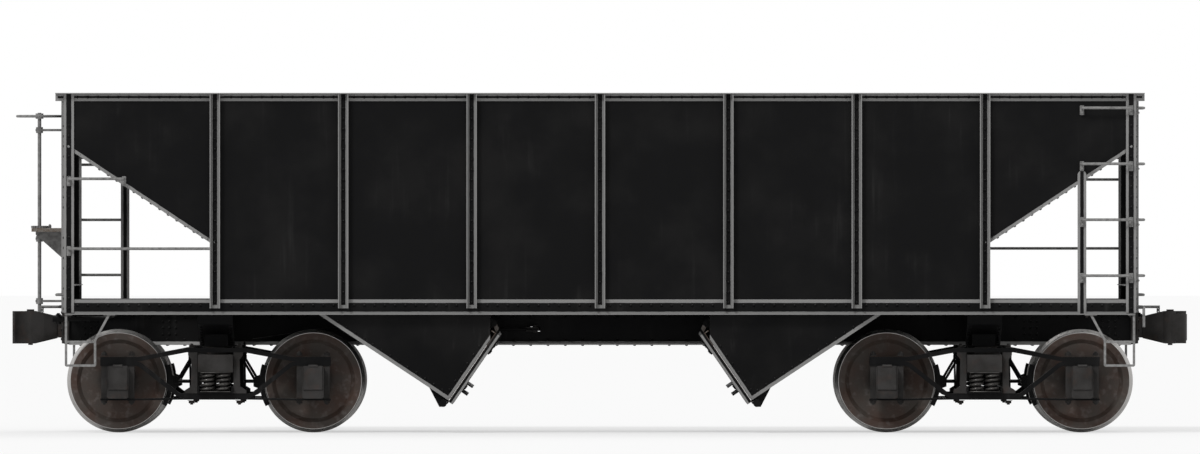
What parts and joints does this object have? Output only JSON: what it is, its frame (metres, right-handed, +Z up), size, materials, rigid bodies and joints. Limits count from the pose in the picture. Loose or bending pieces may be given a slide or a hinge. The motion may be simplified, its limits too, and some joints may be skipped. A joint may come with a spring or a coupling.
{
  "type": "open hopper wagon",
  "caption": "Open-topped steel hopper wagon with bottom-dumping bays, outside side posts, sloping end floors and arch-bar trucks.",
  "frame": {"origin": "under the middle of the wagon, level with the lowest point of the wheel flanges, 25 mm below the rail head", "axes": "+X runs along the track towards end B, the right end in the drawing; +Y runs across the wagon, away from the side that is drawn; +Z is up"},
  "size_m": [10.1352, 2.719, 2.9149],
  "materials": {
    "hopper_plate": "satin black paint on plate",
    "frame_steel": "satin black paint, worn grey at the edges",
    "ironwork": "paint worn to grey by hands and boots",
    "casting": "rough casting under thin black paint",
    "truck_casting": "rough casting under thin black paint",
    "truck_steel": "black paint with road dust",
    "spring_steel": "dark oiled spring steel",
    "wheel_iron": "bare cast iron with a bright tread",
    "axle_steel": "turned steel, dull with oil"
  },
  "bodies": {
    "wagon": {"body_bolsters": "frame_steel", "brake_cylinder": "casting", "brake_levers": "ironwork", "center_plates": "casting", "center_sill": "frame_steel", "chute_walls_inner": "hopper_plate", "chute_walls_outer": "hopper_plate", "corner_posts": "frame_steel", "couplers": "casting", "cross_ridge": "hopper_plate", "door_hinges": "frame_steel", "draft_gears": "casting", "end_chords": "frame_steel", "end_posts": "frame_steel", "end_sheets": "hopper_plate", "end_sills": "frame_steel", "hand_brake": "ironwork", "hand_brake_rod": "ironwork", "handholds": "ironwork", "knuckles": "casting", "ladder_rungs": "ironwork", "ladders": "ironwork", "lock_shafts": "frame_steel", "side_chords": "frame_steel", "side_posts": "frame_steel", "side_sheet_left": "hopper_plate", "side_sheet_right": "hopper_plate", "side_sills": "frame_steel", "sill_cover": "frame_steel", "sill_hoods": "hopper_plate", "sill_steps": "ironwork", "slope_sheet_a": "hopper_plate", "slope_sheet_b": "hopper_plate", "strikers": "casting", "train_pipe": "ironwork", "uncoupling_levers": "ironwork"},
    "truck_a": {"arch_bars_a": "truck_steel", "bolster_a": "truck_casting", "brake_rigging_a": "truck_steel", "columns_a": "truck_casting", "journal_boxes_a": "truck_casting", "spring_plank_a": "truck_steel", "springs_a": "spring_steel"},
    "truck_b": {"arch_bars_b": "truck_steel", "bolster_b": "truck_casting", "brake_rigging_b": "truck_steel", "columns_b": "truck_casting", "journal_boxes_b": "truck_casting", "spring_plank_b": "truck_steel", "springs_b": "spring_steel"},
    "wheelset_a1": {"wheels_a1": "wheel_iron", "axle_a1": "axle_steel"},
    "wheelset_a2": {"wheels_a2": "wheel_iron", "axle_a2": "axle_steel"},
    "wheelset_b1": {"wheels_b1": "wheel_iron", "axle_b1": "axle_steel"},
    "wheelset_b2": {"wheels_b2": "wheel_iron", "axle_b2": "axle_steel"},
    "hopper_door_a": {"door_a": "hopper_plate"},
    "hopper_door_b": {"door_b": "hopper_plate"}
  },
  "joints": [
    {"name": "truck_a_swivel", "type": "hinge", "parent": "wagon", "child": "truck_a", "pos_m": [-3.3, 0, 0.69], "axis": [0, 0, 1], "range_deg": [-5, 5]},
    {"name": "truck_b_swivel", "type": "hinge", "parent": "wagon", "child": "truck_b", "pos_m": [3.3, 0, 0.69], "axis": [0, 0, 1], "range_deg": [-5, 5]},
    {"name": "wheelset_a1_spin", "type": "hinge", "parent": "truck_a", "child": "wheelset_a1", "pos_m": [-2.462, 0, 0.444], "axis": [0, 1, 0], "continuous": true},
    {"name": "wheelset_a2_spin", "type": "hinge", "parent": "truck_a", "child": "wheelset_a2", "pos_m": [-4.138, 0, 0.444], "axis": [0, 1, 0], "continuous": true},
    {"name": "wheelset_b1_spin", "type": "hinge", "parent": "truck_b", "child": "wheelset_b1", "pos_m": [2.462, 0, 0.444], "axis": [0, 1, 0], "continuous": true},
    {"name": "wheelset_b2_spin", "type": "hinge", "parent": "truck_b", "child": "wheelset_b2", "pos_m": [4.138, 0, 0.444], "axis": [0, 1, 0], "continuous": true},
    {"name": "door_a_hinge", "type": "hinge", "parent": "wagon", "child": "hopper_door_a", "pos_m": [-0.912, 0, 0.937], "axis": [0, -1, 0], "range_deg": [0, 55]},
    {"name": "door_b_hinge", "type": "hinge", "parent": "wagon", "child": "hopper_door_b", "pos_m": [0.912, 0, 0.937], "axis": [0, 1, 0], "range_deg": [0, 55]}
  ]
}
